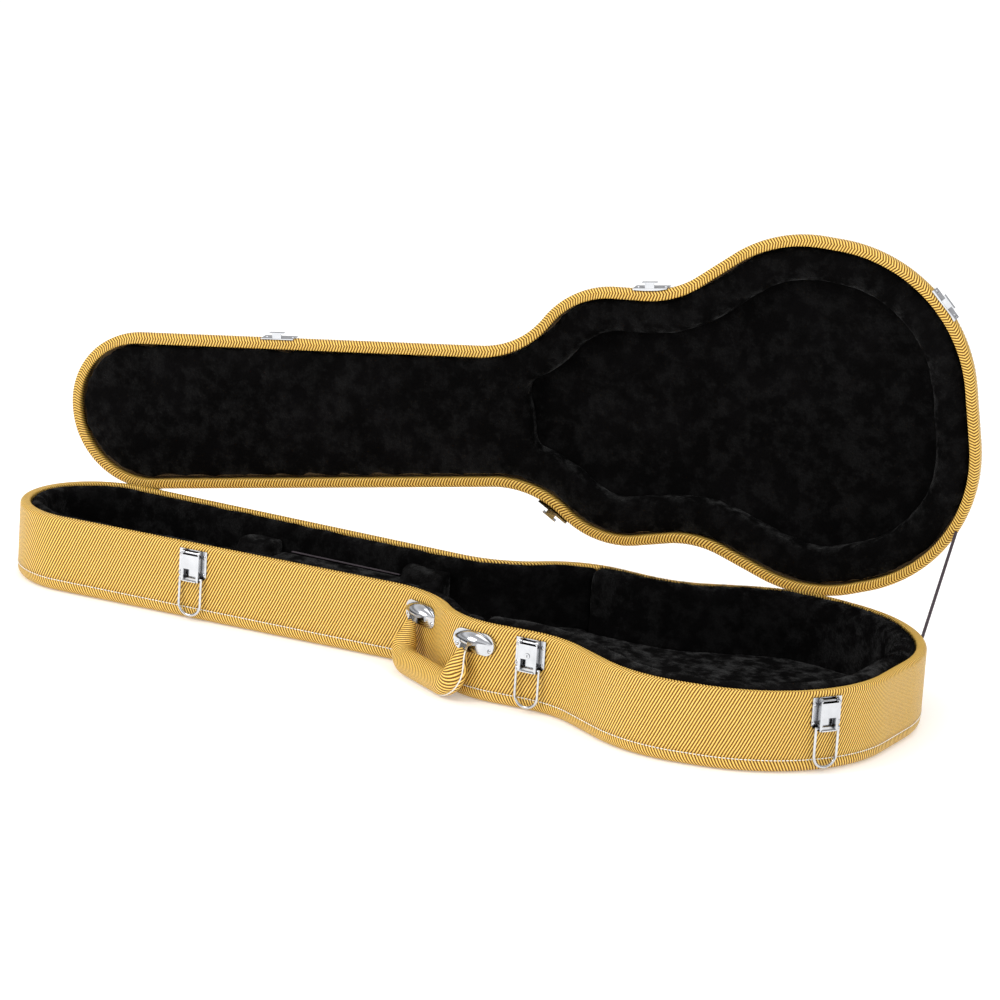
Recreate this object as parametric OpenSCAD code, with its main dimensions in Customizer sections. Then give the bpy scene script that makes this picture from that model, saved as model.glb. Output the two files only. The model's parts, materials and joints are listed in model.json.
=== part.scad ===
// Hard guitar case standing open: a bent-ply tray and lid, covered in tweed and lined with plush.
// +X runs to the tail (body) end, -Y is the handle side and +Z is up.
// The origin is the middle of the resting face. The lid is drawn shut, then turned about the hinge line.

/* [Case] */
// Overall length over the covering
case_l = 1085; // [1070:5:1100]
// Width across the lower bout over the covering
case_w = 405; // [400:1:412]
// Height of the tray, resting face to rim
tray_h = 86; // [84:1:90]
// Height of the lid, rim to top
lid_h = 40; // [38:1:44]
// How far the head end leans towards the handle side
head_lean = 10; // [0:1:12]
// Width of the covered rim
rim_w = 11.5; // [11:0.5:13]

/* [Shell] */
// Thickness of the tweed covering
cover_t = 1.2; // [0.8:0.1:1.4]
// Thickness of the bottom and top panels
panel_t = 5; // [4:0.5:6]
// Radius of the tray's bottom edge
foot_r = 9; // [8:0.5:10]
// Height of the stitched seam above the resting face
seam_h = 14; // [13:0.5:16]

/* [Lining] */
// Thickness of the padding around the guitar's body
body_pad = 25; // [20:1:28]
// Thickness of the padding around the neck and the upper bout
neck_pad = 15; // [12:1:18]
// How far the body padding stands above the tray's rim
body_proud = 3.8; // [1:0.2:3.8]
// How far the neck padding stands above the tray's rim
neck_proud = 1.5; // [1:0.5:3.5]
// Height of the plush floor
floor_h = 18; // [16:1:22]
// Height of the cradle under the neck's head end
head_cradle_h = 67; // [60:1:72]
// Height of the cradle under the neck's heel
heel_cradle_h = 72; // [60:1:74]
// Height of the accessory compartment's lid
stow_h = 55; // [48:1:58]

/* [Opening] */
// How far the lid stands open
open_angle = 86.5; // [60:0.5:88]
// Drop of the hinge line below the tray's rim
hinge_drop = 14; // [12:1:16]

/* [Latches] */
// Place of the front latch nearest the head
head_latch_x = -272; // [-276:1:-268]
// Place of the front latch with the lock
middle_latch_x = 182; // [180:1:184]
// Place of the front latch nearest the tail
tail_latch_x = 514; // [512:1:515]
// Place of the latch on the hinge side
back_latch_x = 44; // [40:1:50]
// Length of the wire bail, pivot to tip
bail_l = 44; // [43.8:0.1:44.4]

/* [Handle] */
// Place of the handle bracket nearer the head
head_bracket_x = 20; // [19:0.5:21]
// Place of the handle bracket nearer the tail
tail_bracket_x = 114; // [113:0.5:115]
// Height of the handle's pivot line
handle_h = 64.5; // [63:0.5:65]
// Drop of the grip from its pivot line
grip_drop = 65; // [65:0.5:68]

/* [Hidden] */

$fn = 96;
glue = 0.1;             // gap between layers that are glued face to face
lid_z = tray_h + 0.4;   // the lid's rim plane when shut
tweed = [0.86, 0.67, 0.30];
plush = [0.06, 0.06, 0.07];
ply = [0.72, 0.56, 0.38];
chrome = [0.80, 0.82, 0.85];
thread = [0.95, 0.90, 0.78];
tape = [0.20, 0.15, 0.20];

// ---------- outline: straight runs joined by arcs ----------

// One half, head to tail: [x, half-width, corner radius] at the reference size
half_corners = [
    [-542.5, 95.7, 92], [18.8, 80.2, 107], [88.5, 152.4, 106], [207.2, 142.8, 105],
    [329.3, 212.3, 155], [542.5, 171.5, 170]
];
size_x = case_l / 1085;
size_y = case_w / 405;
function lean(x) = -head_lean * max(0, -x) / (case_l / 2);
function corner(c, side) =
    [c.x * size_x, side * c.y * size_y + lean(c.x * size_x), c[2] * min(size_x, size_y)];
last = len(half_corners) - 1;
corners = concat(
    [for (i = [0:last]) corner(half_corners[i], 1)],
    [for (i = [last:-1:0]) corner(half_corners[i], -1)]
);
n = len(corners);
function xy(c) = [c.x, c.y];
function unit(v) = v / norm(v);
function heading(v) = atan2(v.y, v.x);
function wrap(a) = a - 360 * floor((a + 180) / 360);

// An arc is [centre, radius, start angle, signed turn]; a negative turn bulges outwards
function arc_at(i) = let (
    p = xy(corners[i]),
    d1 = unit(p - xy(corners[(i + n - 1) % n])),
    d2 = unit(xy(corners[(i + 1) % n]) - p),
    turn = wrap(heading(d2) - heading(d1)),
    r = corners[i][2],
    side = sign(turn),
    begin = p - d1 * r * tan(abs(turn) / 2),
    centre = begin + side * r * [-d1.y, d1.x]
) [centre, r, heading(begin - centre), turn];
arcs = [for (i = [0:n - 1]) arc_at(i)];
function on_arc(a, angle, inset = 0) = a[0] + (a[1] + sign(a[3]) * inset) * [cos(angle), sin(angle)];
function arc_begin(a) = on_arc(a, a[2]);
function arc_end(a) = on_arc(a, a[2] + a[3]);

arc_step = 10;    // degrees between the outline's points on its arcs
// The closed outline at a given distance inside the covering's outer face
function outline(inset) = [
    for (a = arcs)
        let (steps = ceil(abs(a[3]) / arc_step))
        for (k = [0:steps]) on_arc(a, a[2] + a[3] * k / steps, inset)
];

// Where the outline passes a given x: [x, y, heading of the outward normal, inward curvature].
// side is 1 behind and -1 in front
function wall_at(x, side) = [
    for (i = [0:n - 1])
        let (a = arcs[i], reach = x - a[0].x)
        if (abs(reach) < a[1])
            for (s = [-1, 1])
                let (
                    y = a[0].y + s * sqrt(a[1] * a[1] - reach * reach),
                    angle = heading([reach, y - a[0].y]),
                    along = ((angle - a[2]) * sign(a[3]) + 720) % 360
                )
                if (along <= abs(a[3]) && y * side > 0)
                    [x, y, angle + (a[3] < 0 ? 0 : 180), a[3] < 0 ? 0 : 1 / a[1]],
    for (i = [0:n - 1])
        let (from = arc_end(arcs[i]), to = arc_begin(arcs[(i + 1) % n]))
        if ((x - from.x) * (x - to.x) < 0 && (from.y + to.y) * side > 0)
            [x, from.y + (to.y - from.y) * (x - from.x) / (to.x - from.x), heading(to - from) + 90, 0]
][0];

// Twice the area inside a closed list of points; negative when they run clockwise
function turned_area(list, i = 0) = i == len(list) ? 0 :
    let (p = list[i], q = list[(i + 1) % len(list)]) p[0] * q[1] - q[0] * p[1] + turned_area(list, i + 1);
function reversed(list) = [for (i = [len(list) - 1:-1:0]) list[i]];

// Sweeps a profile of [distance inside the outline, height] points round the whole outline.
// Two points together at middle_in close their heights right across the case
middle_in = 48;
module along_outline(profile) {
    rows = turned_area(profile) < 0 ? profile : reversed(profile);
    count = len(outline(0));
    function index(row, i) = (row % len(rows)) * count + i % count;
    function crosses(row) = rows[row][0] == middle_in && rows[(row + 1) % len(rows)][0] == middle_in;
    // A strip right across the case, from two points behind to the two facing them in front
    function strip(row, i) = [for (k = [i, i + 1, count - 2 - i, count - 1 - i]) index(row, k)];
    polyhedron(
        [for (p = rows) for (q = outline(p[0])) [q.x, q.y, p[1]]],
        [for (row = [0:len(rows) - 1])
            if (crosses(row)) each [for (i = [0:count / 2 - 2]) each [strip(row, i), reversed(strip(row + 1, i))]]
            else each [for (i = [0:count - 1])
                [index(row, i), index(row, i + 1), index(row + 1, i + 1), index(row + 1, i)]]]
    );
}

// A flat sheet with the outline's shape
module sheet(inset, z0, z1) {
    translate([0, 0, z0]) linear_extrude(z1 - z0) polygon(outline(inset));
}

// The part of the case between two places along its length
module between(x0, x1) {
    intersection() {
        children();
        translate([x0, -case_w, -1]) cube([x1 - x0, 2 * case_w, tray_h + lid_h + 20]);
    }
}

// Points on a profile's round corner
function bend(u, z, r, a0, a1) = let (steps = ceil(abs(a1 - a0) / 30))
    [for (k = [0:steps]) let (a = a0 + (a1 - a0) * k / steps) [u + r * cos(a), z + r * sin(a)]];

// Turns the shut lid open about the hinge line
module opened() {
    translate([0, hinge_y, hinge_z]) rotate([0, 0, hinge_angle]) rotate([-open_angle, 0, 0])
        rotate([0, 0, -hinge_angle]) translate([0, -hinge_y, -hinge_z]) children();
}

// Places children on the wall at x, with -Y pointing out of the case.
// Where the wall curves inwards they stand out far enough for a plate of the given half-width
module on_wall(x, side, half_w) {
    w = wall_at(x, side);
    translate([w.x, w.y, 0]) rotate([0, 0, w[2] + 90]) translate([0, -half_w * half_w * w[3] / 2, 0]) children();
}

// A box between two places along the wall, two distances out from it and two heights
module block(x, out, z) {
    translate([x[0], -out[1], z[0]]) cube([x[1] - x[0], out[1] - out[0], z[1] - z[0]]);
}

// A rod along the wall, centred on the fitting
module rod(r, length, out, z) {
    translate([-length / 2, -out, z]) rotate([0, 90, 0]) cylinder(r = r, h = length);
}

// Cuts the case's own shape out of the back of a fitting, so that it seats on a curved wall
seat_gap = 0.3;
run_gap = 0.06;     // radial clearance of a turning fit
deep = 8;           // how far fittings run in before the wall's shape is cut from them
module seated() {
    difference() {
        children();
        translate([0, 0, -5]) linear_extrude(tray_h + lid_h + 20) polygon(outline(-seat_gap));
    }
}

// A domed rivet head with a short shank, standing out along -Y
rivet_r = 2.4;
shank_r = 1.4;
module rivet(face) {
    translate([0, -face, 0]) rotate([90, 0, 0]) {
        intersection() {
            translate([0, 0, -2]) sphere(r = sqrt(rivet_r * rivet_r + 4), $fn = 32);
            cylinder(r = rivet_r, h = 3, $fn = 32);
        }
        translate([0, 0, -0.9]) cylinder(r = shank_r, h = 1, $fn = 32);
    }
}
module rivet_hole() {
    rotate([90, 0, 0]) cylinder(r = shank_r + run_gap, h = 6 * deep, center = true, $fn = 32);
}

// ---------- shell ----------

rim_r = 4.5;              // outer round of the covered rim
lip_r = 2;                // inner round of the covered rim
turn_in = 12;             // how far the covering runs down inside the rim
ply_in = cover_t + glue;  // the ply's distance inside the covering's outer face
wall_in = rim_w - cover_t - glue;
lid_straight = 6;         // straight part of the lid's side
lid_r = lid_h - lid_straight;
lid_seam_angle = 15;      // where the lid's seam lies on its rounded side
lid_joint_angle = 40;     // where the lid's wall meets its moulded top
// Every layer of the lid's round turns at the same angles, so that they lie evenly on each other
lid_bends = [lid_seam_angle, lid_joint_angle, 65];

// Rim profile of the covering: the tray's points up (up = 1), the lid's points down (up = -1)
function rim_outer(z, up, grow) = concat(
    bend(rim_r, z - up * rim_r, rim_r - grow, 180, 180 - up * 90),
    bend(rim_w - lip_r, z - up * lip_r, lip_r - grow, up * 90, 0)
);

module tray_wall() {
    color(ply) along_outline(concat(
        bend(foot_r, foot_r, foot_r - ply_in, 270, 180),
        bend(rim_r, tray_h - rim_r, rim_r - ply_in, 180, 90),
        [[rim_w - lip_r, tray_h - ply_in], [wall_in, tray_h - lip_r], [wall_in, ply_in]]
    ));
}

module tray_bottom_panel() {
    color(ply) sheet(wall_in + 2 * seat_gap, ply_in, ply_in + panel_t);
}

module tray_side_covering() {
    outside = rim_outer(tray_h, 1, 0);
    inside = rim_outer(tray_h, 1, cover_t);
    color(tweed) along_outline(concat(
        [[0, seam_h + glue]], outside, [[rim_w, tray_h - turn_in], [rim_w - cover_t, tray_h - turn_in]],
        reversed(inside), [[cover_t, seam_h + glue]]
    ));
}

module tray_bottom_covering() {
    color(tweed) along_outline(concat(
        [[0, seam_h - glue]], bend(foot_r, foot_r, foot_r, 180, 270), [[middle_in, 0], [middle_in, cover_t]],
        bend(foot_r, foot_r, foot_r - cover_t, 270, 180), [[cover_t, seam_h - glue]]
    ));
}

thread_r = 0.45;
function diamond(u, z) = [for (a = [0:90:270]) [u + thread_r * cos(a), z + thread_r * sin(a)]];
module tray_seam_thread() {
    color(thread) along_outline(diamond(-thread_r - 0.05, seam_h));
}

// Points on the lid's rounded side, from angle a0 to a1 above its start, at a distance below the surface
function lid_round(depth, a0, a1) = [
    for (a = concat([a0], [for (b = lid_bends) if (b > a0 && b < a1) b], [a1]))
        [lid_r - (lid_r - depth) * cos(a), lid_z + lid_straight + (lid_r - depth) * sin(a)]
];

module lid_wall() {
    color(ply) opened() along_outline(concat(
        reversed(lid_round(ply_in, 0, lid_joint_angle)),
        bend(rim_r, lid_z + rim_r, rim_r - ply_in, 180, 270),
        [[rim_w - lip_r, lid_z + ply_in], [wall_in, lid_z + lip_r], [wall_in, lid_z + 2 * lid_straight + 3]]
    ));
}

module lid_top_panel() {
    under = ply_in + panel_t;
    color(ply) opened() along_outline(concat(
        lid_round(ply_in, lid_joint_angle + 0.5, 90), [[middle_in, lid_z + lid_h - ply_in]],
        [[middle_in, lid_z + lid_h - under]], reversed(lid_round(under, lid_joint_angle + 8, 90))
    ));
}

module lid_side_covering() {
    outside = rim_outer(lid_z, -1, 0);
    inside = rim_outer(lid_z, -1, cover_t);
    color(tweed) opened() along_outline(concat(
        reversed(lid_round(0, 0, lid_seam_angle)), outside,
        [[rim_w, lid_z + turn_in - 2], [rim_w - cover_t, lid_z + turn_in - 2]],
        reversed(inside), lid_round(cover_t, 0, lid_seam_angle)
    ));
}

module lid_top_covering() {
    start = lid_seam_angle + 0.4;
    color(tweed) opened() along_outline(concat(
        lid_round(0, start, 90), [[middle_in, lid_z + lid_h], [middle_in, lid_z + lid_h - cover_t]],
        reversed(lid_round(cover_t, start, 90))
    ));
}

module lid_seam_thread() {
    at = lid_round(-thread_r - 0.1, lid_seam_angle, 90)[0];
    color(thread) opened() along_outline(diamond(at[0], at[1]));
}

// ---------- lining ----------

pad_in = rim_w + 0.2;           // outer face of the padding
pad_floor = ply_in + panel_t + 0.3;
pad_split = 116;                // where the thick body padding meets the thinner neck padding
soft_r = 5;                     // round of the padding's top edges
pad_gap = 0.3;

function padding_profile(thick, proud) = concat(
    [[pad_in, pad_floor]], bend(pad_in + soft_r, tray_h + proud - soft_r, soft_r, 180, 90),
    bend(pad_in + thick - soft_r, tray_h + proud - soft_r, soft_r, 90, 0), [[pad_in + thick, pad_floor]]
);

module body_padding() {
    color(plush) between(pad_split, case_l) along_outline(padding_profile(body_pad, body_proud));
}

module neck_padding() {
    color(plush) between(-case_l, pad_split - pad_gap) along_outline(padding_profile(neck_pad, neck_proud));
}

// Places along the neck: head cradle, accessory compartment, heel cradle
head_cradle_x = [-291, -244];
stow_x = [-243.5, -78.5];
heel_cradle_x = [-78, -23];
neck_in = pad_in + neck_pad + pad_gap;
body_in = pad_in + body_pad + pad_gap;

module body_floor_pad() {
    color(plush) {
        between(heel_cradle_x[1] + pad_gap, pad_split - pad_gap) sheet(neck_in, pad_floor, floor_h);
        between(pad_split - 1, case_l) sheet(body_in, pad_floor, floor_h);
    }
}

module head_floor_pad() {
    color(plush) between(-case_l, head_cradle_x[0] - pad_gap) sheet(neck_in, pad_floor, floor_h);
}

neck_notch_r = 36;
neck_notch_rise = 14;    // how far the notch's centre lies above the cradle's top
module cradle(x, top) {
    color(plush) difference() {
        between(x[0], x[1]) sheet(neck_in, pad_floor, top);
        translate([x[0] - 1, lean((x[0] + x[1]) / 2), top + neck_notch_rise])
            rotate([0, 90, 0]) cylinder(r = neck_notch_r, h = x[1] - x[0] + 2);
    }
}
module heel_cradle() cradle(heel_cradle_x, heel_cradle_h);
module head_cradle() cradle(head_cradle_x, head_cradle_h);

stow_wall = 4;
stow_lid_t = 4;
stow_hinge_y = 50;      // the compartment's lid turns about its upper edge here
module compartment_box() {
    top = stow_h - stow_lid_t - pad_gap;
    color(plush) difference() {
        union() {
            between(stow_x[0], stow_x[1]) sheet(neck_in, pad_floor, top);
            intersection() {
                between(stow_x[0], stow_x[1]) sheet(neck_in, pad_floor, stow_h);
                translate([-case_l / 2, stow_hinge_y + pad_gap, 0]) cube([case_l, case_w, tray_h]);
            }
        }
        between(stow_x[0] + stow_wall, stow_x[1] - stow_wall) sheet(neck_in + stow_wall, pad_floor + 2, top + 0.01);
    }
}

module compartment_lid() {
    color(plush) intersection() {
        between(stow_x[0] + 1, stow_x[1] - 1) sheet(neck_in + 1, stow_h - stow_lid_t, stow_h);
        translate([-case_l / 2, -case_w, 0]) cube([case_l, case_w + stow_hinge_y, tray_h]);
    }
}

stow_middle = (stow_x[0] + stow_x[1]) / 2;
module compartment_pull_tab() {
    front = -wall_at(stow_middle, -1)[1] - neck_in;
    color(tape) translate([stow_middle - 7, -front + 4, stow_h + glue]) cube([14, 26, 1]);
}

module compartment_hinge_tape() {
    color(tape) translate([stow_x[0] + 12, stow_hinge_y + pad_gap, stow_h + glue])
        cube([stow_x[1] - stow_x[0] - 24, 3, 0.8]);
}

lid_pad_z = lid_z + 4;          // face of the lid's padding
lid_pad_split = 24;
lid_band = 40;                  // width of the padded band round the lid
lid_under = lid_z + lid_h - ply_in - panel_t - 0.3;
lid_panel_t = 4;

module lid_body_padding() {
    under = lid_round(ply_in + panel_t + 0.3, 50, 90);
    color(plush) opened() between(lid_pad_split, case_l) along_outline(concat(
        [[pad_in, lid_pad_z + soft_r]], bend(pad_in + soft_r, lid_pad_z + soft_r, soft_r, 180, 270),
        bend(pad_in + lid_band - 8, lid_pad_z + 8, 8, 270, 360), [[pad_in + lid_band, lid_under]],
        reversed(under)
    ));
}

module lid_neck_padding() {
    color(plush) opened() between(-case_l, lid_pad_split - pad_gap) union() {
        sheet(pad_in + 0.2, lid_pad_z, lid_z + 2 * lid_straight + 4);
        sheet(lid_r, lid_pad_z, lid_under);
    }
}

module lid_panel_lining() {
    color(plush) opened() between(lid_pad_split + 1, case_l)
        sheet(pad_in + lid_band + 1, lid_under - lid_panel_t, lid_under);
}

// ---------- hinges ----------

// The hinge line touches the head's round and the lower bout's, both on the hinge side
head_arc = arcs[0];
bout_arc = arcs[4];
centres = bout_arc[0] - head_arc[0];
hinge_angle = heading(centres) + asin((bout_arc[1] - head_arc[1]) / norm(centres));
hinge_out = 3.3;                // hinge line's distance outside the covering
hinge_z = tray_h - hinge_drop;
hinge_touch = [for (a = [head_arc, bout_arc]) on_arc(a, hinge_angle + 90, -hinge_out)];
hinge_y = hinge_touch[0].y - hinge_touch[0].x * tan(hinge_angle);

hinge_w = 42;
knuckles = 5;
knuckle_w = hinge_w / knuckles;
knuckle_r = 3;
knuckle_gap = 0.3;
hinge_pin_r = 1.5;
leaf_t = 1.5;
leaf_face = seat_gap + leaf_t;  // the leaves' outer face, out from the covering
leaf_start = knuckle_r + 0.4;
leaf_drop = 30;                 // reach of the tray's leaf below the hinge line
leaf_rise = 25;                 // reach of the lid's leaf above it
leaf_rivet_x = 14;
leaf_rivet_in = 7;

// Children are drawn at each hinge, on the hinge line, with -Y pointing out of the case
module at_hinges() {
    for (p = hinge_touch) translate([p.x, p.y, hinge_z]) rotate([0, 0, hinge_angle + 180]) children();
}

module leaf_rivet_places(up, reach) {
    at_hinges() for (x = [-leaf_rivet_x, leaf_rivet_x]) translate([x, 0, up * (reach - leaf_rivet_in)]) children();
}

// One leaf and its share of the knuckles; up is 1 for the lid's leaf and -1 for the tray's
module leaf(up, reach, first) {
    face = leaf_face - hinge_out;
    difference() {
        seated() at_hinges() {
            block([-hinge_w / 2, hinge_w / 2], [-deep, face], up > 0 ? [leaf_start, reach] : [-reach, -leaf_start]);
            for (k = [first:2:knuckles - 1]) {
                x0 = (k - knuckles / 2) * knuckle_w + knuckle_gap / 2;
                x1 = x0 + knuckle_w - knuckle_gap;
                block([x0, x1], [-deep, 0], up > 0 ? [0, leaf_start + 1] : [-leaf_start - 1, 0]);
                translate([x0, 0, 0]) rotate([0, 90, 0]) cylinder(r = knuckle_r, h = x1 - x0);
            }
        }
        at_hinges() rod(hinge_pin_r + run_gap, 2 * hinge_w, 0, 0);
        leaf_rivet_places(up, reach) rivet_hole();
    }
}

module hinge_tray_leaves() color(chrome) leaf(-1, leaf_drop, 0);
module hinge_lid_leaves() color(chrome) opened() leaf(1, leaf_rise, 1);
module hinge_pins() color(chrome) at_hinges() rod(hinge_pin_r, hinge_w, 0, 0);
module hinge_tray_rivets() color(chrome) leaf_rivet_places(-1, leaf_drop) rivet(leaf_face - hinge_out);
module hinge_lid_rivets() color(chrome) opened() leaf_rivet_places(1, leaf_rise) rivet(leaf_face - hinge_out);

// ---------- latches ----------

plate_half = 20;                // half-width that the wall's inward curve is allowed for
latch_face = 1.4;               // outer face of the latch plates and keepers, out from the covering
latch_half = 17.2;
latch_low = 45;
latch_high = 81;
latch_chamfer = 6;
lever_out = 5;                  // both of the latch's pivots, out from the covering
lever_z = latch_high - 3;       // the lever's own pivot
bail_z = 49;                    // the bail's pivot, near the lever's free end
lever_half = 10.9;
lever_wall = 1.2;
lever_depth = 3.4;              // the lever's reach either side of its pivots
ear_in = 8.3;
ear_t = 1.1;
ear_r = 2.6;
latch_pin_r = 1.25;
wire_r = 1.6;
bail_half = 13.4;               // half-width of the bail at its wire's centre
latch_rivet_x = 14.4;
latch_rivet_z = [54, 74];

// Each latch has its own place; a side of -1 is the front
module at_head_latch() on_wall(head_latch_x, -1, plate_half) children();
module at_middle_latch() on_wall(middle_latch_x, -1, plate_half) children();
module at_tail_latch() on_wall(tail_latch_x, -1, plate_half) children();
module at_back_latch() on_wall(back_latch_x, 1, plate_half) children();
module at_latches() {
    at_head_latch() children();
    at_middle_latch() children();
    at_tail_latch() children();
    at_back_latch() children();
}

module latch_plates() {
    color(chrome) difference() {
        seated() at_latches() {
            translate([0, deep, 0]) rotate([90, 0, 0]) linear_extrude(deep + latch_face) polygon([
                [-latch_half, latch_high], [latch_half, latch_high], [latch_half, latch_low + latch_chamfer],
                [latch_half - latch_chamfer, latch_low], [latch_chamfer - latch_half, latch_low],
                [-latch_half, latch_low + latch_chamfer]
            ]);
            for (x = [ear_in, -ear_in - ear_t]) {
                block([x, x + ear_t], [0, lever_out], [lever_z - ear_r, lever_z + ear_r]);
                translate([x, -lever_out, lever_z]) rotate([0, 90, 0]) cylinder(r = ear_r, h = ear_t);
            }
        }
        at_latches() rod(latch_pin_r + run_gap, 2 * latch_half, lever_out, lever_z);
        at_latches() for (x = [-latch_rivet_x, latch_rivet_x]) for (z = latch_rivet_z)
            translate([x, 0, z]) rivet_hole();
    }
}

module latch_rivets() {
    color(chrome) at_latches() for (x = [-latch_rivet_x, latch_rivet_x]) for (z = latch_rivet_z)
        translate([x, 0, z]) rivet(latch_face);
}

module latch_pins() color(chrome) at_latches() rod(latch_pin_r, 2 * lever_half, lever_out, lever_z);

// A pressed cover, open towards the case, with a window near its free end and a lip to lift it by
window_half = 8;
window_z = [bail_z - 1, bail_z + 11];
ear_room = 2;                   // the cover stops this far below its pivot, to turn clear of the ears
lip_half = 8.5;
lip_t = 1.2;
lock_z = 64;
lock_r = 2.2;
module lever(has_lock) {
    face = lever_out + lever_depth;
    inside = lever_half - lever_wall;
    difference() {
        union() {
            block([-lever_half, lever_half], [lever_out - lever_depth, face], [bail_z - 3, lever_z]);
            rod(lever_depth, 2 * lever_half, lever_out, lever_z);
        }
        block([-inside, inside], [0, face - lever_wall], [bail_z - 4, lever_z]);
        block([-inside, inside], [0, face + 1], [lever_z - ear_room, lever_z + lever_depth + 1]);
        rod(latch_pin_r + run_gap, 4 * lever_half, lever_out, lever_z);
        rod(wire_r + run_gap, 4 * lever_half, lever_out, bail_z);
        block([-window_half, window_half], [face - 2 * lever_wall, face + 1], window_z);
        if (has_lock) translate([0, 0, lock_z]) rotate([90, 0, 0])
            cylinder(r = lock_r + run_gap, h = 4 * lever_out, $fn = 32);
    }
    block([-lip_half, lip_half], [face - 0.2, face + lip_t], [bail_z - 3, bail_z - 3 + lip_t]);
}
module head_latch_lever() color(chrome) at_head_latch() lever(false);
module middle_latch_lever() color(chrome) at_middle_latch() lever(true);
module tail_latch_lever() color(chrome) at_tail_latch() lever(false);
module back_latch_lever() color(chrome) at_back_latch() lever(false);

module lock_plug() {
    face = lever_out + lever_depth;
    color(chrome) at_middle_latch() translate([0, -face + 2, lock_z]) rotate([90, 0, 0]) difference() {
        union() {
            cylinder(r = lock_r, h = 2.4, $fn = 32);
            translate([0, 0, 2.05]) cylinder(r = lock_r + 0.7, h = 0.6, $fn = 32);
        }
        translate([-0.4, -1.3, 1]) cube([0.8, 2.6, 2]);
    }
}

// A wire bail whose ends turn in through the lever
module bail() {
    leg = bail_l - bail_half - wire_r;
    for (side = [-1, 1]) {
        translate([side * bail_half, -lever_out, bail_z - leg]) cylinder(r = wire_r, h = leg, $fn = 32);
        translate([side * bail_half, -lever_out, bail_z]) sphere(r = wire_r, $fn = 32);
        translate([side < 0 ? -bail_half : lever_half - lever_wall - 0.5, -lever_out, bail_z]) rotate([0, 90, 0])
            cylinder(r = wire_r, h = bail_half - lever_half + lever_wall + 0.5, $fn = 32);
    }
    translate([0, -lever_out, bail_z - leg]) rotate([-90, 0, 0])
        rotate_extrude(angle = 180, $fn = 64) translate([bail_half, 0]) circle(r = wire_r, $fn = 24);
}
module head_latch_bail() color(chrome) at_head_latch() bail();
module middle_latch_bail() color(chrome) at_middle_latch() bail();
module tail_latch_bail() color(chrome) at_tail_latch() bail();
module back_latch_bail() color(chrome) at_back_latch() bail();

// The keepers on the lid: a shelf that the bail drops over, with a lip to hold it
keeper_low = lid_z + 0.4;
keeper_h = 15;
keeper_rivet_x = 16;
keeper_out = 8.2;
module keepers() {
    color(chrome) opened() difference() {
        seated() at_latches() {
            block([-plate_half, plate_half], [-deep, latch_face], [keeper_low, keeper_low + keeper_h]);
            block([-5.5, 5.5], [0, keeper_out], [keeper_low + 0.2, keeper_low + 1.6]);
            block([-9, 9], [keeper_out - 1.2, keeper_out], [keeper_low + 0.2, keeper_low + 5]);
        }
        at_latches() for (x = [-keeper_rivet_x, keeper_rivet_x])
            translate([x, 0, keeper_low + keeper_h / 2]) rivet_hole();
    }
}
module keeper_rivets() {
    color(chrome) opened() at_latches() for (x = [-keeper_rivet_x, keeper_rivet_x])
        translate([x, 0, keeper_low + keeper_h / 2]) rivet(latch_face);
}

// ---------- handle ----------

// Both brackets hold their bars on one line, the pivot line, along the chord between them
bracket_x = [head_bracket_x, tail_bracket_x];
bracket_at = [for (x = bracket_x) wall_at(x, -1)];
chord = xy(bracket_at[1]) - xy(bracket_at[0]);
pivot_out = 8.5;
leg_half = norm(chord) / 2;         // the handle's legs, either side of its middle
leg_shift = 4;                      // the legs hang this far to the head side of their brackets' middles
bar_r = 1.4;
eye_r = 2.8;
strap_w = 11;
strap_t = 3;
cheek_t = 1.5;
cheek_gap = 1;
cheek_r = 3;
bar_l = strap_w + 2 * cheek_gap + 2 * cheek_t;
hood_r = 12;
hood_t = 1.2;
hood_half = 28;
hood_out = 1;                       // the hood's axis, out from the back of the bracket
hood_edge = 2.6;                    // the hood's lower edge, above the pivot line
bracket_half = 27;
bracket_span = 22;                  // half-width that the wall's inward curve is allowed for
bracket_face = 1.5;
bracket_tall = 24;
bracket_rivet_x = 21.5;
bracket_rivet_z = -6;

// Children are drawn on the pivot line, midway between the legs, with -Y pointing out of the case
module at_handle() {
    middle = (xy(bracket_at[0]) + xy(bracket_at[1])) / 2;
    translate([middle.x, middle.y, handle_h]) rotate([0, 0, heading(chord)])
        translate([-leg_shift, -pivot_out, 0]) children();
}
module at_brackets() {
    for (x = bracket_x) on_wall(x, -1, bracket_span) translate([0, 0, handle_h]) children();
}

// A long dome, pointed at both ends
module hood_shape(r, half) {
    arc_in = (half * half - r * r) / (2 * r);
    rotate([0, 90, 0]) rotate_extrude() intersection() {
        translate([-arc_in, 0]) circle(r = r + arc_in, $fn = 180);
        translate([0, -half]) square([r + 1, 2 * half]);
    }
}

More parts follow.
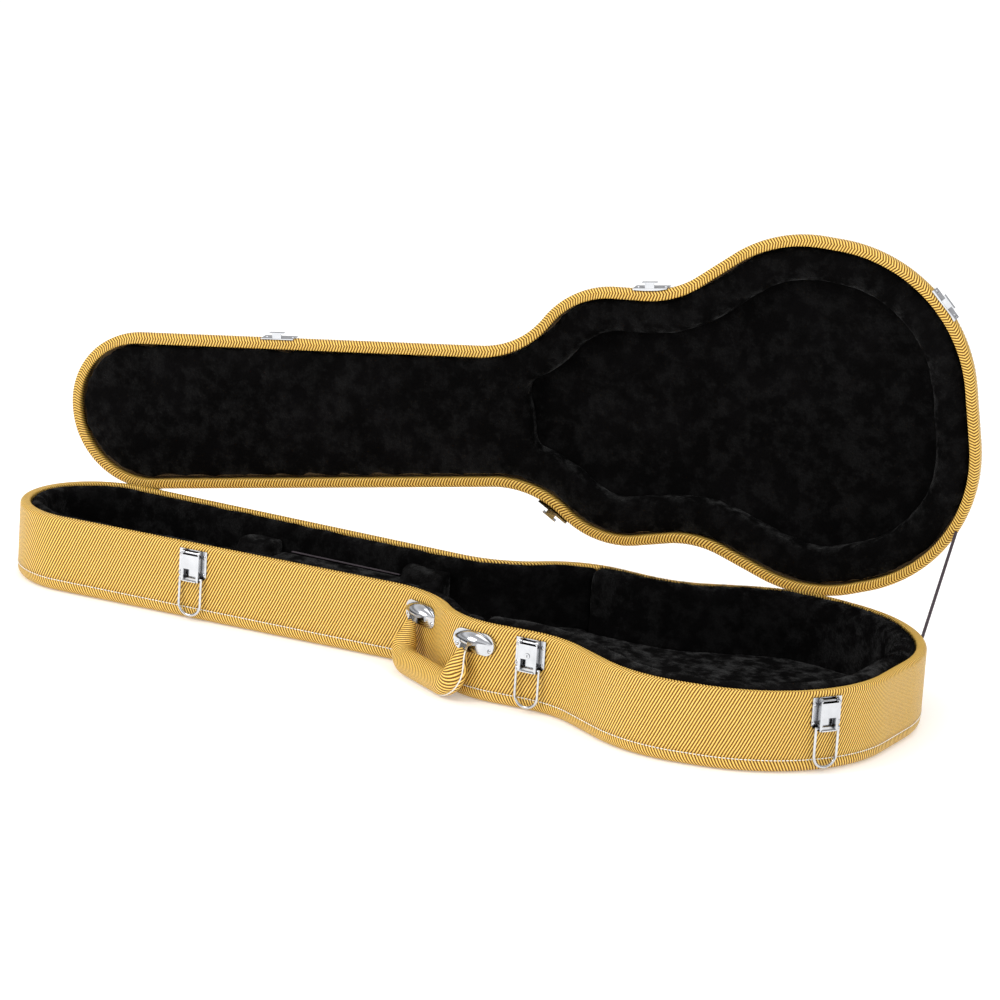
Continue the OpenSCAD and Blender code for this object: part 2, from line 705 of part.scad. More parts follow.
module handle_brackets() {
    cheek_x = strap_w / 2 + cheek_gap;
    color(chrome) difference() {
        seated() {
            at_brackets() translate([0, deep + 4, 0]) rotate([90, 0, 0]) linear_extrude(deep + 4 + bracket_face) {
                square([2 * bracket_half - bracket_tall, bracket_tall], center = true);
                for (x = [-1, 1]) translate([x * (bracket_half - bracket_tall / 2), 0]) circle(r = bracket_tall / 2);
            }
            at_brackets() translate([0, -hood_out, 0]) difference() {
                hood_shape(hood_r, hood_half);
                hood_shape(hood_r - hood_t, hood_half - 2 * hood_t);
                translate([-50, -50, hood_edge - 100]) cube([100, 100, 100]);
            }
            at_handle() for (side = [-1, 1]) translate([side * leg_half, 0, 0])
                for (x = [cheek_x, -cheek_x - cheek_t]) {
                    block([x, x + cheek_t], [-deep - pivot_out, 0], [-cheek_r, cheek_r]);
                    translate([x, 0, 0]) rotate([0, 90, 0]) cylinder(r = cheek_r, h = cheek_t);
                }
        }
        at_handle() for (side = [-1, 1]) translate([side * leg_half, 0, 0]) rod(bar_r + run_gap, bar_l + 2, 0, 0);
        at_brackets() for (x = [-bracket_rivet_x, bracket_rivet_x])
            translate([x, 0, bracket_rivet_z]) rivet_hole();
    }
}
module handle_bracket_rivets() {
    color(chrome) at_brackets() for (x = [-bracket_rivet_x, bracket_rivet_x])
        translate([x, 0, bracket_rivet_z]) rivet(bracket_face);
}
module handle_pivot_bars() {
    color(chrome) at_handle() for (side = [-1, 1]) translate([side * leg_half, 0, 0])
        rod(bar_r, bar_l, 0, 0);
}

// The handle hangs out just far enough to clear the surface the case stands on
grip_r = 14;
grip_top_r = 5.5;
grip_start = 10;
grip_bend_r = 18;
grip_middle = grip_drop - grip_r;
grip_clear = 1.5;
hang_angle = acos((handle_h - grip_r - grip_clear) / grip_middle);
module hanging() at_handle() rotate([-hang_angle, 0, 0]) children();

// A steel strap runs through the grip, from eye to eye
module strap(w, t) {
    bend_z = grip_bend_r - grip_middle;
    for (side = [-1, 1]) {
        translate([side * leg_half - w / 2, -t / 2, bend_z]) cube([w, t, -bend_z]);
        translate([side * (leg_half - grip_bend_r), 0, bend_z]) rotate([90, 0, 0])
            rotate([0, 0, side > 0 ? 270 : 180]) rotate_extrude(angle = 90)
                translate([grip_bend_r - w / 2, -t / 2]) square([w, t]);
    }
    span = leg_half - grip_bend_r;
    translate([-span, -t / 2, -grip_middle - w / 2]) cube([2 * span, t, w]);
}
module handle_core() {
    color(chrome) hanging() difference() {
        union() {
            strap(strap_w, strap_t);
            for (side = [-1, 1]) translate([side * leg_half, 0, 0]) rod(eye_r, strap_w, 0, 0);
        }
        rod(bar_r + run_gap, 4 * leg_half, 0, 0);
    }
}
module handle_grip() {
    bend_z = grip_bend_r - grip_middle;
    color(tweed) hanging() difference() {
        union() {
            for (side = [-1, 1]) {
                translate([side * leg_half, 0, bend_z])
                    cylinder(r1 = grip_r, r2 = grip_top_r, h = -bend_z - grip_start);
                translate([side * (leg_half - grip_bend_r), 0, bend_z]) rotate([90, 0, 0])
                    rotate([0, 0, side > 0 ? 270 : 180]) rotate_extrude(angle = 90)
                        translate([grip_bend_r, 0]) circle(r = grip_r, $fn = 48);
            }
            translate([0, 0, -grip_middle]) rotate([0, 90, 0])
                cylinder(r = grip_r, h = 2 * (leg_half - grip_bend_r), center = true, $fn = 48);
        }
        strap(strap_w + 2 * glue, strap_t + 2 * glue);
    }
}

// ---------- stay tape ----------

// One end is tucked in behind the tray's rim and the other behind the lid's
tape_tray_end = [508, 133, tray_h + body_proud + 0.4];
tape_lid_end = [510, 128, lid_z - 0.6];
tape_w = 10;
tape_t = 0.8;
hinge_at = [0, hinge_y, hinge_z];
function turn_x(v, a) = [v.x, v.y * cos(a) - v.z * sin(a), v.y * sin(a) + v.z * cos(a)];
function turn_z(v, a) = [v.x * cos(a) - v.y * sin(a), v.x * sin(a) + v.y * cos(a), v.z];
function open_place(p) = hinge_at + turn_z(turn_x(turn_z(p - hinge_at, -hinge_angle), -open_angle), hinge_angle);
module stay_tape() {
    run = open_place(tape_lid_end) - tape_tray_end;
    color(tape) translate(tape_tray_end) rotate([0, acos(run.z / norm(run)), heading([run.x, run.y])])
        translate([-tape_t / 2, -tape_w / 2, 0]) cube([tape_t, tape_w, norm(run)]);
}

tray_wall();
tray_bottom_panel();
tray_side_covering();
tray_bottom_covering();
tray_seam_thread();
body_padding();
neck_padding();
body_floor_pad();
head_floor_pad();
heel_cradle();
head_cradle();
compartment_box();
compartment_lid();
compartment_pull_tab();
compartment_hinge_tape();
lid_wall();
lid_top_panel();
lid_side_covering();
lid_top_covering();
lid_seam_thread();
lid_body_padding();
lid_neck_padding();
lid_panel_lining();
hinge_tray_leaves();
hinge_lid_leaves();
hinge_pins();
hinge_tray_rivets();
hinge_lid_rivets();
latch_plates();
latch_rivets();
latch_pins();
keepers();
keeper_rivets();
lock_plug();
head_latch_lever();
middle_latch_lever();
tail_latch_lever();
back_latch_lever();
head_latch_bail();
middle_latch_bail();
tail_latch_bail();
back_latch_bail();
handle_brackets();
handle_bracket_rivets();
handle_pivot_bars();
handle_grip();
handle_core();
stay_tape();
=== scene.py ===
"""An open hard guitar case: visual model on the CAD frame, in metres.

The CAD shows the hardware. Tweed, plush, stitching, grip and stay tape are built here and
stand for their CAD nodes.
"""

import json
import math

import bmesh
import bpy
import numpy as np
from mathutils import Matrix, Vector


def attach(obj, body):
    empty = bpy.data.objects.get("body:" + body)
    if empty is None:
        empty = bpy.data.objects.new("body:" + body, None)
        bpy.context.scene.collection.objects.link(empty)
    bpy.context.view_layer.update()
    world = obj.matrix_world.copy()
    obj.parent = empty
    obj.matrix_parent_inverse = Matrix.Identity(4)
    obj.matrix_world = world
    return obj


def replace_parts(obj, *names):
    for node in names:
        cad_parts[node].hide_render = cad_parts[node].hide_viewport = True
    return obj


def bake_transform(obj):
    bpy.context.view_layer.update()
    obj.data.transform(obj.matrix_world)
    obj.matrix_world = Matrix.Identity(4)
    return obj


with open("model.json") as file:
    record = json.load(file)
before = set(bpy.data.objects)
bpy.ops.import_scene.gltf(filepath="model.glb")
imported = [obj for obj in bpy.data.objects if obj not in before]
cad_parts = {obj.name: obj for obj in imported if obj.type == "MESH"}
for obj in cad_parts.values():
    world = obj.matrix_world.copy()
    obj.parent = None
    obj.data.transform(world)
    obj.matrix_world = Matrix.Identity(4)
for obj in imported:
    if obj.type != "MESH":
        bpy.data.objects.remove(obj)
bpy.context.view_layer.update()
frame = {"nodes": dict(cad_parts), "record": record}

MM = 0.001
random = np.random.default_rng(7)

# ---------- the case's driving sizes, in mm ----------

CASE_L = 1085.0
TRAY_H = 86.0
LID_H = 40.0
LID_Z = TRAY_H + 0.4
HEAD_LEAN = 10.0
RIM_W = 11.5
RIM_R = 4.5
LIP_R = 2.0
TURN_IN = 11.0
FOOT_R = 9.0
SEAM_H = 14.0
LID_STRAIGHT = 6.0
LID_R = LID_H - LID_STRAIGHT
LID_SEAM_ANGLE = 15.0
OPEN_ANGLE = 86.5
HINGE_DROP = 14.0
HINGE_OUT = 3.3
HANDLE_H = 64.5
# One half, head to tail: x, half-width, corner radius
HALF_CORNERS = [
    (-542.5, 95.7, 92), (18.8, 80.2, 107), (88.5, 152.4, 106),
    (207.2, 142.8, 105), (329.3, 212.3, 155), (542.5, 171.5, 170),
]


# ---------- outline: straight runs joined by arcs ----------

def lean(x):
    return -HEAD_LEAN * max(0.0, -x) / (CASE_L / 2)


def make_arcs():
    """Each arc of the outline, clockwise from the head's hinge side: centre, radius, start angle, turn."""
    corners = [(x, y + lean(x), r) for x, y, r in HALF_CORNERS]
    corners += [(x, -y + lean(x), r) for x, y, r in reversed(HALF_CORNERS)]
    points = [np.array(c[:2]) for c in corners]
    arcs = []
    for i, (_, _, radius) in enumerate(corners):
        into = points[i] - points[i - 1]
        out = points[(i + 1) % len(points)] - points[i]
        into, out = into / np.linalg.norm(into), out / np.linalg.norm(out)
        turn = math.atan2(into[0] * out[1] - into[1] * out[0], into @ out)
        side = math.copysign(1, turn)
        begin = points[i] - into * radius * math.tan(abs(turn) / 2)
        centre = begin + side * radius * np.array([-into[1], into[0]])
        start = math.atan2(begin[1] - centre[1], begin[0] - centre[0])
        arcs.append((centre, radius, start, turn))
    return arcs


ARCS = make_arcs()


def outline_samples(step):
    """Points round the outline with their inward normals and their distance along it."""
    points, normals = [], []
    for i, (centre, radius, start, turn) in enumerate(ARCS):
        side = math.copysign(1, turn)
        count = max(2, round(radius * abs(turn) / step))
        for k in range(count + 1):
            angle = start + turn * k / count
            away = np.array([math.cos(angle), math.sin(angle)])
            points.append(centre + radius * away)
            normals.append(side * away)
        after = ARCS[(i + 1) % len(ARCS)]
        target = after[0] + after[1] * np.array([math.cos(after[2]), math.sin(after[2])])
        run = target - points[-1]
        count = max(1, round(np.linalg.norm(run) / step))
        start_point = points[-1]
        for k in range(1, count):
            points.append(start_point + run * k / count)
            normals.append(normals[-1])
    points, normals = np.array(points), np.array(normals)
    steps = np.linalg.norm(np.diff(np.vstack([points, points[:1]]), axis=0), axis=1)
    return points, normals, np.concatenate([[0], np.cumsum(steps)])


def hinge_line():
    """A point on the hinge line and its angle in plan."""
    head, bout = ARCS[0], ARCS[4]
    between = bout[0] - head[0]
    angle = math.atan2(between[1], between[0]) + math.asin((bout[1] - head[1]) / np.linalg.norm(between))
    out = np.array([-math.sin(angle), math.cos(angle)])
    touch = bout[0] + (bout[1] + HINGE_OUT) * out
    return Vector((touch[0] * MM, touch[1] * MM, (TRAY_H - HINGE_DROP) * MM)), angle


def opening():
    """Turns the shut lid to where it stands open."""
    place, angle = hinge_line()
    axis = Vector((math.cos(angle), math.sin(angle), 0))
    turn = Matrix.Rotation(math.radians(-OPEN_ANGLE), 4, axis)
    return Matrix.Translation(place) @ turn @ Matrix.Translation(-place)


OPENED = opening()


def wall_at(x, side):
    """Where the outline passes x on one side: point and outward normal, in mm."""
    points, normals, _ = outline_samples(1.0)
    near = np.where(points[:, 1] * side > 0, np.abs(points[:, 0] - x), 1e9)
    i = int(np.argmin(near))
    return points[i], -normals[i]


# ---------- meshes ----------

def new_object(name, vertices, faces, uvs=None, smooth=True):
    """A mesh object from vertices in mm; uvs is one (u, v) a vertex."""
    mesh = bpy.data.meshes.new(name)
    mesh.from_pydata([tuple(v) for v in np.asarray(vertices) * MM], [], [tuple(f) for f in faces])
    if uvs is not None:
        layer = mesh.uv_layers.new(name="UVMap")
        order = np.empty(len(mesh.loops), int)
        mesh.loops.foreach_get("vertex_index", order)
        layer.data.foreach_set("uv", (np.asarray(uvs)[order] * MM).ravel())
    mesh.polygons.foreach_set("use_smooth", [smooth] * len(mesh.polygons))
    mesh.update()
    obj = bpy.data.objects.new(name, mesh)
    bpy.context.scene.collection.objects.link(obj)
    return obj


def bend(u, z, r, a0, a1, steps):
    """Points on a profile's round corner, from angle a0 to a1."""
    return [
        (u + r * math.cos(math.radians(a)), z + r * math.sin(math.radians(a)))
        for a in np.linspace(a0, a1, steps + 1)
    ]


def stripe_line(profile, flips):
    """How far along the profile each point lies; the sense reverses where any of the given tests changes."""
    shift, sense, line = 0.0, 1, [0.0]
    for i in range(1, len(profile)):
        a, b = profile[i - 1], profile[i]
        if any(test(a) != test(b) for test in flips):
            sense = -sense
        shift += sense * math.dist(a, b)
        line.append(shift)
    return line


def turned_area(profile):
    """Twice the area inside the profile; positive when it runs anticlockwise."""
    after = profile[1:] + profile[:1]
    return sum(a[0] * b[1] - b[0] * a[1] for a, b in zip(profile, after))


def sweep(name, profile, shifts, step=4.0):
    """A skin swept round the whole outline; its UV is distance along the outline and along the profile."""
    points, normals, along = outline_samples(step)
    rows, columns = len(points), len(profile)
    vertices, uvs, faces = [], [], []
    for i in range(rows + 1):
        p, n = points[i % rows], normals[i % rows]
        for (u, z), shift in zip(profile, shifts):
            vertices.append((p[0] + u * n[0], p[1] + u * n[1], z))
            uvs.append((along[i], shift))
    for i in range(rows):
        for j in range(columns - 1):
            a = i * columns + j
            faces.append((a, a + 1, a + columns + 1, a + columns))
    if turned_area(profile) > 0:
        faces = [face[::-1] for face in faces]
    return new_object(name, vertices, faces, uvs)


def finish_skin(obj, thickness=1.0):
    """Gives a skin some thickness, towards the case."""
    solid = obj.modifiers.new("thickness", "SOLIDIFY")
    solid.thickness = thickness * MM
    solid.offset = -1
    return obj


def flat_uv_sheet(name, profile, inset, step=4.0):
    """A skin swept round the outline and closed across the middle; its UV lies flat in plan."""
    points, normals, _ = outline_samples(step)
    rows, columns = len(points), len(profile)
    lengths = np.concatenate([[0], np.cumsum([math.dist(a, b) for a, b in zip(profile, profile[1:])])])
    vertices, uvs, faces = [], [], []
    for i in range(rows):
        p, n = points[i], normals[i]
        for (u, z), length in zip(profile, lengths):
            vertices.append((p[0] + u * n[0], p[1] + u * n[1], z))
            flat = inset - (lengths[-1] - length)
            uvs.append((p[0] + flat * n[0], p[1] + flat * n[1]))
    for i in range(rows):
        for j in range(columns - 1):
            a, b = i * columns + j, (i + 1) % rows * columns + j
            faces.append((a, a + 1, b + 1, b))
    inner = [i * columns + columns - 1 for i in range(rows)]
    faces += strips_across(inner)
    if turned_area(profile) > 0:
        faces = [face[::-1] for face in faces]
    return new_object(name, vertices, faces, uvs)


END_POINTS = 12


def strips_across(ring):
    """Faces that close a ring of points: strips from side to side and a many-sided face at each end."""
    first, last = END_POINTS, len(ring) // 2 - END_POINTS
    faces = [(ring[-1 - i], ring[-2 - i], ring[i + 1], ring[i]) for i in range(first, last)]
    head = ring[-1 - first:] + ring[:first + 1]
    tail = ring[last:len(ring) - last]
    return faces + [tuple(head[::-1]), tuple(tail[::-1])]


# ---------- materials ----------

class Nodes:
    """Short calls for building a node material."""

    def __init__(self, name):
        self.material = bpy.data.materials.new(name)
        self.material.use_nodes = True
        self.tree = self.material.node_tree
        self.shader = self.tree.nodes["Principled BSDF"]

    def put(self, socket, value):
        if isinstance(value, bpy.types.NodeSocket):
            self.tree.links.new(value, socket)
        else:
            socket.default_value = value

    def node(self, kind, inputs=(), **settings):
        node = self.tree.nodes.new(kind)
        for key, value in settings.items():
            setattr(node, key, value)
        for key, value in dict(inputs).items():
            self.put(node.inputs[key], value)
        return node

    def math(self, operation, a, b=0.0, c=0.0):
        return self.node("ShaderNodeMath", {0: a, 1: b, 2: c}, operation=operation).outputs[0]

    def noise(self, vector, scale, detail=2.0, roughness=0.5):
        inputs = {"Vector": vector, "Scale": scale, "Detail": detail, "Roughness": roughness}
        return self.node("ShaderNodeTexNoise", inputs).outputs["Fac"]

    def mix(self, factor, a, b, blend="MIX"):
        node = self.node("ShaderNodeMix", data_type="RGBA", blend_type=blend)
        self.put(node.inputs[0], factor)
        self.put(node.inputs[6], a)
        self.put(node.inputs[7], b)
        return node.outputs[2]

    def ramp(self, value, low, high):
        inputs = {"Value": value, "From Min": low, "From Max": high}
        return self.node("ShaderNodeMapRange", inputs, interpolation_type="SMOOTHSTEP").outputs[0]

    def wave(self, value, pitch):
        """Between 0 and 1 with the given pitch."""
        turns = self.math("MULTIPLY", value, 2 * math.pi / pitch)
        return self.math("MULTIPLY_ADD", self.math("SINE", turns), 0.5, 0.5)

    def bump(self, height, distance, strength=1.0, normal=None):
        inputs = {"Height": height, "Distance": distance, "Strength": strength}
        node = self.node("ShaderNodeBump", inputs)
        if normal is not None:
            self.put(node.inputs["Normal"], normal)
        return node.outputs[0]

    def set(self, **values):
        for key, value in values.items():
            self.put(self.shader.inputs[key.replace("_", " ")], value)
        return self.material


def tweed(name, slant, pitch=0.0034):
    """Lacquered diagonal tweed: dark stripes across gold and cream threads."""
    n = Nodes(name)
    place = n.node("ShaderNodeTexCoord").outputs["UV"]
    split = n.node("ShaderNodeSeparateXYZ", {"Vector": place})
    along, across = split.outputs[0], split.outputs[1]
    wander = n.math("MULTIPLY_ADD", n.noise(place, 45.0), 0.0012, -0.0006)
    diagonal = n.math("ADD", n.math("MULTIPLY_ADD", across, slant, along), wander)
    stripe = n.wave(diagonal, pitch)
    pick = n.wave(across, 0.00105)
    end = n.wave(along, 0.00095)
    fray = n.math("MULTIPLY_ADD", n.noise(place, 900.0, 3.0), 0.5, -0.25)
    dark = n.ramp(n.math("ADD", stripe, fray), 0.46, 0.70)
    thread = n.math("MULTIPLY", pick, end)
    pale = n.ramp(n.math("ADD", n.math("SUBTRACT", 1.0, stripe), fray), 0.72, 1.05)
    gold = n.mix(n.noise(place, 30.0, 4.0), (0.86, 0.43, 0.032, 1), (0.95, 0.54, 0.060, 1))
    gold = n.mix(n.math("MULTIPLY", pale, 0.80), gold, (1.0, 0.86, 0.32, 1))
    gold = n.mix(n.math("MULTIPLY", thread, 0.22), gold, (0.48, 0.20, 0.025, 1))
    colour = n.mix(n.math("MULTIPLY", dark, 0.95), gold, (0.095, 0.034, 0.004, 1))
    weave = n.math("MULTIPLY_ADD", stripe, -0.8, n.math("MULTIPLY", thread, 0.7))
    normal = n.bump(weave, 0.00035, 0.7)
    rough = n.math("MULTIPLY_ADD", n.noise(place, 120.0), 0.2, 0.36)
    return n.set(Base_Color=colour, Roughness=rough, Normal=normal, Coat_Weight=0.05, Coat_Roughness=0.3,
                 Specular_IOR_Level=0.3)


def plush(name):
    """Short black pile: nap patches that lie different ways, and fine fibres."""
    n = Nodes(name)
    place = n.node("ShaderNodeTexCoord").outputs["Object"]
    patches = n.ramp(n.noise(place, 14.0, 3.0, 0.6), 0.42, 0.62)
    tufts = n.noise(place, 420.0, 4.0, 0.7)
    clumps = n.noise(place, 110.0, 3.0, 0.6)
    mottle = n.ramp(n.noise(place, 48.0, 4.0, 0.7), 0.42, 0.66)
    shade = n.mix(patches, (0.0008, 0.0007, 0.0007, 1), (0.0020, 0.0018, 0.0019, 1))
    shade = n.mix(n.math("MULTIPLY", tufts, 0.5), shade, (0.0048, 0.0044, 0.0045, 1))
    height = n.math("MULTIPLY_ADD", tufts, 0.6, n.math("MULTIPLY", clumps, 0.8))
    normal = n.bump(height, 0.0022, 0.8)
    sheen = n.math("MULTIPLY_ADD", n.math("MULTIPLY", mottle, tufts), 0.16, 0.004)
    return n.set(
        Base_Color=shade, Roughness=0.95, Normal=normal, Sheen_Weight=sheen, Sheen_Roughness=0.55,
        Specular_IOR_Level=0.03,
    )


def nickel(name):
    """Bright nickel plate with faint brushing and fingerprints, and painted shade in its crevices."""
    n = Nodes(name)
    place = n.node("ShaderNodeTexCoord").outputs["Object"]
    smear = n.noise(place, 60.0, 4.0, 0.6)
    scratch = n.noise(place, 900.0, 2.0)
    rough = n.math("MULTIPLY_ADD", smear, 0.14, 0.07)
    normal = n.bump(n.math("ADD", scratch, smear), 0.00012, 0.25)
    tint = n.mix(smear, (0.46, 0.47, 0.49, 1), (0.74, 0.75, 0.77, 1))
    # Painted shade: an ambient-occlusion mask darkens the colour to near-black in crevices, round rivets and
    # in windows.
    painted_nook_shade = n.node("ShaderNodeAmbientOcclusion", {"Distance": 0.007}).outputs["AO"]
    colour = n.mix(n.ramp(painted_nook_shade, 0.25, 0.95), (0.05, 0.05, 0.055, 1), tint)
    return n.set(Base_Color=colour, Metallic=1.0, Roughness=rough, Normal=normal)


def plywood(name):
    n = Nodes(name)
    place = n.node("ShaderNodeTexCoord").outputs["Object"]
    grain = n.noise(place, 80.0, 5.0, 0.6)
    colour = n.mix(grain, (0.36, 0.22, 0.11, 1), (0.58, 0.40, 0.22, 1))
    return n.set(Base_Color=colour, Roughness=0.7, Normal=n.bump(grain, 0.0003, 0.4))


def yarn(name, colour, twist=0.0011):
    """Twisted thread or narrow woven tape."""
    n = Nodes(name)
    place = n.node("ShaderNodeTexCoord").outputs["Object"]
    split = n.node("ShaderNodeSeparateXYZ", {"Vector": place})
    total = n.math("ADD", n.math("ADD", split.outputs[0], split.outputs[1]), split.outputs[2])
    ply = n.wave(total, twist)
    lighter = tuple(min(1.0, c * 1.5 + 0.01) for c in colour[:3]) + (1,)
    shade = n.mix(ply, colour, lighter)
    return n.set(Base_Color=shade, Roughness=0.75, Normal=n.bump(ply, 0.0003, 0.6), Sheen_Weight=0.1)


TWEED = tweed("tweed", 0.50)
PLUSH = plush("plush")
NICKEL = nickel("nickel")
PLYWOOD = plywood("plywood")
THREAD = yarn("cream thread", (0.90, 0.84, 0.70, 1))
TAPE = yarn("dark tape", (0.035, 0.022, 0.030, 1), 0.0008)


def paint(obj, material):
    obj.data.materials.clear()
    obj.data.materials.append(material)
    return obj


# ---------- tweed coverings ----------

EDGE_INSET = 40.0       # how far the tray's stitched edge runs in under the bottom
SHEET_INSET = 60.0      # where the bottom's and the lid's flat middles begin


def rim_points(z, up):
    """The covered rim's profile, from its outer side to its inner side."""
    outer = bend(RIM_R, z - up * RIM_R, RIM_R, 180, 180 - up * 90, 7)
    inner = bend(RIM_W - LIP_R, z - up * LIP_R, LIP_R, up * 90, 0, 4)
    return outer + inner + [(RIM_W, z - up * TURN_IN)]


def past_crest(point):
    """True on the inner half of a rim, where the stripes run the other way."""
    return point[0] > RIM_R + 0.01


def tray_covering():
    profile = [(0, z) for z in np.linspace(SEAM_H, TRAY_H - RIM_R, 12)[:-1]] + rim_points(TRAY_H, 1)
    side = sweep("tray_tweed_side", profile, stripe_line(profile, [past_crest]))
    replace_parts(finish_skin(side), "tray_side_covering")
    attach(paint(side, TWEED), "tray")
    profile = [(0, SEAM_H)] + bend(FOOT_R, FOOT_R, FOOT_R, 180, 270, 8) + [(EDGE_INSET, 0)]
    edge = sweep("tray_tweed_bottom_edge", profile, stripe_line(profile, []))
    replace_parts(finish_skin(edge), "tray_bottom_covering")
    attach(paint(edge, TWEED), "tray")
    under_edge = [(EDGE_INSET - 1, 0.6), (EDGE_INSET, 0.05), (SHEET_INSET, 0.05)]
    bottom = flat_uv_sheet("tray_tweed_bottom", under_edge, SHEET_INSET)
    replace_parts(bottom, "tray_bottom_covering")
    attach(paint(bottom, TWEED), "tray")


def lid_covering():
    centre = LID_Z + LID_STRAIGHT
    rim = rim_points(LID_Z, -1)
    seam = bend(LID_R, centre, LID_R, 180 - LID_SEAM_ANGLE, 180, 4)
    profile = seam + rim
    side = sweep("lid_tweed_side", profile, stripe_line(profile, [past_crest]))
    side.data.transform(OPENED)
    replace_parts(finish_skin(side), "lid_side_covering")
    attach(paint(side, TWEED), "lid")
    profile = bend(LID_R, centre, LID_R, 180 - LID_SEAM_ANGLE, 90, 16)
    profile.append((SHEET_INSET, LID_Z + LID_H))
    top = flat_uv_sheet("lid_tweed_top", profile, SHEET_INSET)
    top.data.transform(OPENED)
    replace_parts(finish_skin(top), "lid_top_covering")
    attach(paint(top, TWEED), "lid")


# ---------- stitching ----------

STITCH_SIDES = 6
STITCH_SHAPE = [(-0.5, 0.25), (-0.3, 0.9), (0.0, 1.0), (0.3, 0.9), (0.5, 0.25)]     # place and size along it
STITCH_SINK = 0.25


def stitch_row(name, u, z, pitch=4.4, length=3.6, radius=0.6):
    """Separate stitches laid round the outline."""
    points, normals, along = outline_samples(1.0)
    closed = np.vstack([points, points[:1]])
    vertices, faces = [], []
    ring = [(math.cos(a), math.sin(a)) for a in np.linspace(0, 2 * math.pi, STITCH_SIDES + 1)[:-1]]
    for s in np.arange(pitch / 2, along[-1], pitch):
        i = int(np.searchsorted(along, s)) - 1
        share = (s - along[i]) / max(along[i + 1] - along[i], 1e-9)
        here = closed[i] + (closed[i + 1] - closed[i]) * share
        n = normals[i]
        t = np.array([-n[1], n[0]])
        base = len(vertices)
        for offset, size in STITCH_SHAPE:
            middle = here + t * offset * length + n * (u + STITCH_SINK * (1 - size))
            for c, d in ring:
                spot = middle + n * c * radius * size
                vertices.append((spot[0], spot[1], z + d * radius * size))
        for k in range(len(STITCH_SHAPE) - 1):
            for m in range(STITCH_SIDES):
                a = base + k * STITCH_SIDES + m
                b = base + k * STITCH_SIDES + (m + 1) % STITCH_SIDES
                faces.append((a, b, b + STITCH_SIDES, a + STITCH_SIDES))
    return new_object(name, vertices, faces)


def seams():
    tray = stitch_row("tray_stitches", -0.25, SEAM_H)
    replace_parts(tray, "tray_seam_thread")
    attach(paint(tray, THREAD), "tray")
    angle = math.radians(180 - LID_SEAM_ANGLE)
    u = LID_R + (LID_R + 0.25) * math.cos(angle)
    lid = stitch_row("lid_stitches", u, LID_Z + LID_STRAIGHT + LID_R * math.sin(angle))
    lid.data.transform(OPENED)
    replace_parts(lid, "lid_seam_thread")
    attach(paint(lid, THREAD), "lid")


# ---------- plush lining ----------

def joined_copy(name, nodes):
    """One world-space mesh object made of copies of CAD nodes."""
    mesh = bmesh.new()
    for node in nodes:
        part = frame["nodes"][node]
        data = part.data.copy()
        data.transform(part.matrix_world)
        mesh.from_mesh(data)
        bpy.data.meshes.remove(data)
    data = bpy.data.meshes.new(name)
    mesh.to_mesh(data)
    mesh.free()
    obj = bpy.data.objects.new(name, data)
    bpy.context.scene.collection.objects.link(obj)
    return obj


def soft_copy(nodes, body, voxel=4.0, rounds=6, swell=1.0, puff=0.0, stays=None):
    """A padded piece made from CAD solids: edges rounded off, blown out by cloth pressure, then dented."""
    obj = joined_copy("soft_" + nodes[0], nodes)
    remesh = obj.modifiers.new("remesh", "REMESH")
    remesh.mode = "VOXEL"
    remesh.voxel_size = voxel * MM
    remesh.use_smooth_shade = True
    smooth = obj.modifiers.new("smooth", "SMOOTH")
    smooth.factor = 0.5
    smooth.iterations = rounds
    apply_modifiers(obj)
    if puff:
        inflate(obj, stays, puff)
    if puff:
        finer = obj.modifiers.new("finer", "SUBSURF")
        finer.levels = 1
        finer.render_levels = 1
        apply_modifiers(obj)
    dent(obj, swell)
    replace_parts(obj, *nodes)
    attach(paint(obj, PLUSH), body)
    return obj


def apply_modifiers(obj):
    graph = bpy.context.evaluated_depsgraph_get()
    mesh = bpy.data.meshes.new_from_object(obj.evaluated_get(graph))
    old = obj.data
    obj.modifiers.clear()
    obj.data = mesh
    bpy.data.meshes.remove(old)


def vectors(mesh, what):
    """Every vertex's co or normal, as rows."""
    values = np.empty(len(mesh.vertices) * 3)
    mesh.vertices.foreach_get(what, values)
    return values.reshape(-1, 3)


def inflate(obj, held, cap, frames=20):
    """Swells a padded piece by cloth pressure, cap mm at most; held says which points stay put."""
    scene = bpy.context.scene
    start = vectors(obj.data, "co")
    group = obj.vertex_groups.new(name="held")
    group.add([int(i) for i in np.nonzero(held(start))[0]], 1.0, "REPLACE")
    cloth = obj.modifiers.new("cloth", "CLOTH")
    cloth.settings.use_pressure = True
    cloth.settings.uniform_pressure_force = 4
    cloth.settings.effector_weights.gravity = 0
    cloth.settings.vertex_group_mass = "held"
    cloth.settings.quality = 4
    cloth.point_cache.frame_start = 1
    cloth.point_cache.frame_end = frames
    for number in range(1, frames + 1):
        scene.frame_set(number)
    apply_modifiers(obj)
    obj.vertex_groups.clear()
    scene.frame_set(1)
    moved = vectors(obj.data, "co") - start
    reach = np.linalg.norm(moved, axis=1)[:, None]
    capped = start + moved * np.minimum(1.0, cap * MM / np.maximum(reach, 1e-9))
    obj.data.vertices.foreach_set("co", capped.ravel())
    obj.data.update()


def dent(obj, amount):
    """Moves the surface along its normals by soft waves, amount mm at most."""
    mesh = obj.data
    co, normals = vectors(mesh, "co"), vectors(mesh, "normal")
    waves = np.zeros(len(co))
    for length in (0.055, 0.034, 0.019, 0.011):
        direction = random.normal(size=(3, 3))
        direction /= np.linalg.norm(direction, axis=1)[:, None]
        phase = random.uniform(0, 6.28, 3)
        for k in range(3):
            waves += np.sin(co @ direction[k] * 6.28 / length + phase[k]) * length
    waves *= amount * MM / np.abs(waves).max()
    mesh.vertices.foreach_set("co", (co + normals * waves[:, None]).ravel())
    mesh.update()


SHORTEST_FIBRE = 1.2
FIBRE_HALF_W = 0.17 * MM


